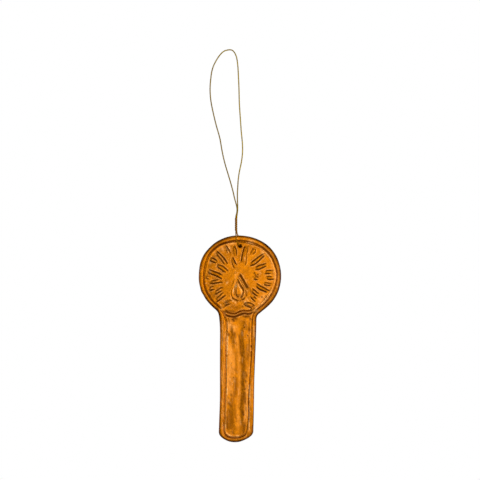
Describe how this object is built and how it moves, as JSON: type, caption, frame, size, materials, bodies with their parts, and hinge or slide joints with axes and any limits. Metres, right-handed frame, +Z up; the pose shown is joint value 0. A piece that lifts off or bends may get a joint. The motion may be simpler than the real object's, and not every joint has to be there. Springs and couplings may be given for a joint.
{
  "type": "candle ornament",
  "caption": "Flat hanging ornament of embossed tin plate, shaped as a candle with a round glow of rays behind its flame, on a long twisted wire loop.",
  "frame": {"origin": "underside of the wire at the top of the hanging loop, where a hook or twig carries the ornament", "axes": "+Z up along the ornament, +X to the viewer's right, embossed front facing -Y"},
  "size_m": [0.0404, 0.0029, 0.1929],
  "materials": {
    "amber_lacquered_tin": "glossy translucent amber lacquer over hand-embossed tin plate, darker in the pressed lines",
    "aged_brass_wire": "soft drawn brass wire, dulled"
  },
  "bodies": {
    "hanger": {"hanger_wire": "aged_brass_wire"},
    "ornament": {"embossed_tin_body": "amber_lacquered_tin"}
  },
  "joints": [
    {"name": "plate_swing", "type": "hinge", "parent": "hanger", "child": "ornament", "pos_m": [0.00476, 0, -0.09566], "axis": [0, 1, 0], "range_deg": [-30, 30]}
  ]
}
